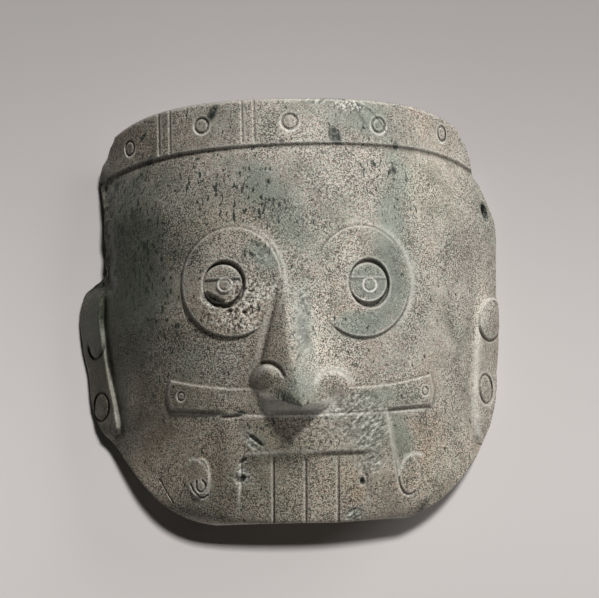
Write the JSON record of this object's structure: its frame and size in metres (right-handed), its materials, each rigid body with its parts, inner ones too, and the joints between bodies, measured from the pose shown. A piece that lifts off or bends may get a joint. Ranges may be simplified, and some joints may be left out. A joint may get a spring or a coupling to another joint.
{
  "type": "carved stone rain god mask",
  "caption": "Deep carved greenstone mask of a goggle-eyed rain god with banded brow, ear strips, fangs and a hollowed back, lying face up on its rim.",
  "frame": {"origin": "middle of the bounding box's underside, on the plane of the flat back rim", "axes": "+Z is the way the face looks, +Y runs from the chin to the headband, +X is to the right of someone facing the mask"},
  "size_m": [0.1524, 0.148, 0.0746],
  "materials": {
    "greenstone": "polished speckled grey-green stone, worn matt in places, with dark flecks"
  },
  "bodies": {
    "root": {"mask": "greenstone"}
  },
  "joints": []
}
